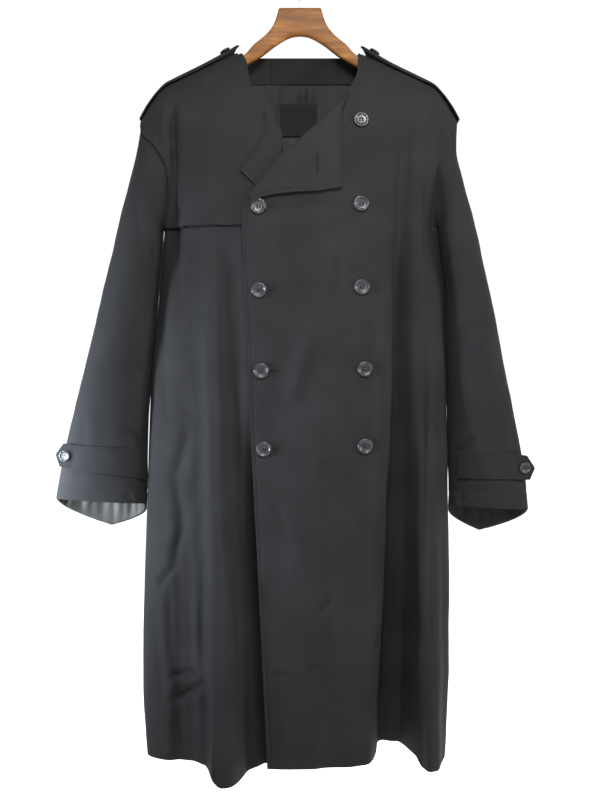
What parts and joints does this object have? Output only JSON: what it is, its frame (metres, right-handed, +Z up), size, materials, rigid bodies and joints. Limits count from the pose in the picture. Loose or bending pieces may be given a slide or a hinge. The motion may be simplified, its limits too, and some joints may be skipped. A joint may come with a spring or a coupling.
{
  "type": "collarless trench coat on a hanger",
  "caption": "Collarless double-breasted trench coat with a storm flap, epaulettes and cuff straps, hung open at the neck on a flat arched wooden hanger with a wire hook.",
  "frame": {"origin": "inside top of the hanger's hook, where it bears on a rail", "axes": "+Z up along the coat's length, +X to the viewer's right across its shoulders, the front faces -Y"},
  "size_m": [0.7999, 0.2373, 1.3299],
  "materials": {
    "gabardine": "matt twill, near-black grey",
    "satin": "satin",
    "label": "matt woven, bare",
    "horn_button": "glossy",
    "varnished_wood": "clear varnish",
    "hook_wire": "polished"
  },
  "bodies": {
    "root": {"front_left": "gabardine", "front_right": "gabardine", "back": "gabardine", "sleeve_left": "gabardine", "sleeve_right": "gabardine", "storm_flap": "gabardine", "lapel_left": "gabardine", "lapel_right": "gabardine", "neck_facing": "gabardine", "epaulette_left": "gabardine", "epaulette_right": "gabardine", "cuff_strap_left": "gabardine", "cuff_strap_right": "gabardine", "back_lining": "satin", "cuff_lining_left": "satin", "cuff_lining_right": "satin", "neck_label": "label", "button_inner_1": "horn_button", "button_inner_2": "horn_button", "button_inner_3": "horn_button", "button_inner_4": "horn_button", "button_outer_0": "horn_button", "button_outer_1": "horn_button", "button_outer_2": "horn_button", "button_outer_3": "horn_button", "button_outer_4": "horn_button", "button_epaulette_left": "horn_button", "button_epaulette_right": "horn_button", "button_cuff_left": "horn_button", "button_cuff_right": "horn_button", "hanger_wood": "varnished_wood", "hanger_hook": "hook_wire"}
  },
  "joints": []
}
